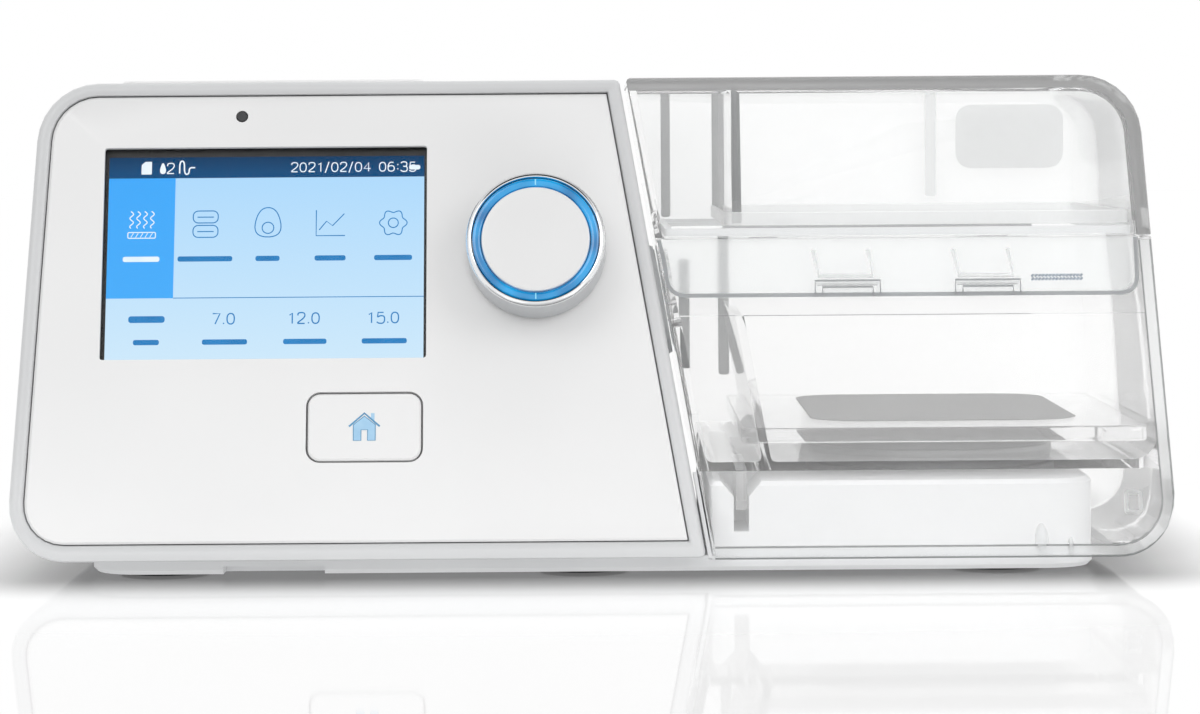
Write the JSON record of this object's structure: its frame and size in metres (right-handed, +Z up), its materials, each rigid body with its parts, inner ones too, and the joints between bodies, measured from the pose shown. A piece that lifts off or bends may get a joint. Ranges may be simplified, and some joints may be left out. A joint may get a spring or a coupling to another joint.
{
  "type": "bilevel positive airway pressure machine",
  "caption": "Tabletop breathing-pressure machine with a leaning front, screen, turn-and-press dial, home and start buttons, and a heated clear water tank with a hinged lid.",
  "frame": {"origin": "on the table under the middle of the machine's bounding box", "axes": "+X to the right seen from the front, +Y to the back, +Z up"},
  "size_m": [0.265, 0.145, 0.114],
  "materials": {
    "white_abs": "satin injection-moulded ABS",
    "panel_abs": "satin injection-moulded ABS",
    "base_abs": "matt injection-moulded ABS",
    "dark_glass": "polished tinted glass",
    "screen": "lit liquid-crystal display",
    "circuit_board": "glass-fibre board with solder mask",
    "dark_abs": "moulded dark plastic",
    "steel": "stamped and turned steel",
    "aluminium": "machined aluminium",
    "grey_nylon": "moulded grey nylon",
    "chrome": "bright chrome plating",
    "blue_light": "lit blue translucent plastic",
    "black_rubber": "moulded rubber",
    "clear_silicone": "moulded translucent silicone",
    "grey_foam": "open-cell foam",
    "white_foam": "fine filter felt",
    "blue_card": "moulded blue plastic",
    "clear_plastic": "clear moulded plastic",
    "smoke_plastic": "smoke-grey moulded plastic"
  },
  "bodies": {
    "machine": {"main_housing": "white_abs", "rear_cover": "white_abs", "base_tray": "base_abs", "front_panel": "panel_abs", "display_lens": "dark_glass", "lcd_module": "screen", "control_board": "circuit_board", "light_sensor": "dark_abs", "encoder_body": "steel", "home_switch": "dark_abs", "start_switch": "dark_abs", "switch_board": "circuit_board", "main_board": "circuit_board", "blower_base": "grey_nylon", "blower_cover": "grey_nylon", "blower_motor": "steel", "blower_grommet_1": "black_rubber", "blower_grommet_2": "black_rubber", "blower_grommet_3": "black_rubber", "muffler_foam": "grey_foam", "supply_duct": "grey_nylon", "return_duct": "grey_nylon", "supply_seal": "clear_silicone", "return_seal": "clear_silicone", "outlet_port": "grey_nylon", "air_filter": "white_foam", "dc_inlet": "dark_abs", "card_socket": "steel", "heater_plate": "aluminium", "heater_insulator": "grey_nylon", "foot_1": "black_rubber", "foot_2": "black_rubber", "foot_3": "black_rubber", "foot_4": "black_rubber", "foot_5": "black_rubber", "foot_6": "black_rubber", "tray_screw_1": "steel", "tray_screw_2": "steel", "tray_screw_3": "steel", "tray_screw_4": "steel"},
    "knob_plunger": {"encoder_plunger": "grey_nylon"},
    "dial": {"encoder_shaft": "steel", "knob_core": "white_abs", "knob_trim": "chrome", "knob_light_ring": "blue_light", "knob_cap": "panel_abs"},
    "home": {"home_button": "panel_abs"},
    "start_bar": {"start_stop_button": "panel_abs"},
    "rotor": {"impeller": "white_abs", "motor_shaft": "steel"},
    "filter_door": {"filter_cover": "white_abs"},
    "card": {"memory_card": "blue_card"},
    "tank": {"water_tank": "clear_plastic", "tank_plate": "steel", "tank_plate_seal": "clear_silicone"},
    "lid": {"lid_shell": "smoke_plastic", "lid_body": "clear_plastic", "lid_gasket": "clear_silicone", "lid_hinge_pin": "steel"},
    "latch": {"latch_flap": "clear_plastic"}
  },
  "joints": [
    {"name": "knob_press", "type": "slide", "parent": "machine", "child": "knob_plunger", "axis": [0, 0.9494, -0.314], "range_m": [0, 0.0008], "stiffness_N_per_m": 1500, "springref_m": -0.0008},
    {"name": "knob_turn", "type": "hinge", "parent": "knob_plunger", "child": "dial", "pos_m": [-0.0124, -0.05021, 0.07343], "axis": [0, 0.9494, -0.314], "continuous": true},
    {"name": "home_press", "type": "slide", "parent": "machine", "child": "home", "axis": [0, 0.9494, -0.314], "range_m": [0, 0.0005], "stiffness_N_per_m": 1500, "springref_m": -0.0006},
    {"name": "start_press", "type": "slide", "parent": "machine", "child": "start_bar", "axis": [0, 0, -1], "range_m": [0, 0.0006], "stiffness_N_per_m": 1500, "springref_m": -0.0006},
    {"name": "impeller_spin", "type": "hinge", "parent": "machine", "child": "rotor", "pos_m": [-0.072, 0.0045, 0.0295], "axis": [0, 0, 1], "continuous": true},
    {"name": "filter_cover_hinge", "type": "hinge", "parent": "machine", "child": "filter_door", "pos_m": [-0.084, 0.066, 0.06015], "axis": [-1, 0, 0], "range_deg": [0, 90]},
    {"name": "card_slide", "type": "slide", "parent": "machine", "child": "card", "axis": [0, 1, 0], "range_m": [0, 0.022]},
    {"name": "tank_lift", "type": "slide", "parent": "machine", "child": "tank", "axis": [0, 0, 1], "range_m": [0, 0.11]},
    {"name": "lid_hinge", "type": "hinge", "parent": "tank", "child": "lid", "pos_m": [0.075, 0.0693, 0.07625], "axis": [-1, 0, 0], "range_deg": [0, 100]},
    {"name": "latch_hinge", "type": "hinge", "parent": "lid", "child": "latch", "pos_m": [0.07, -0.04927, 0.07625], "axis": [-1, 0, 0], "range_deg": [0, 25]}
  ]
}
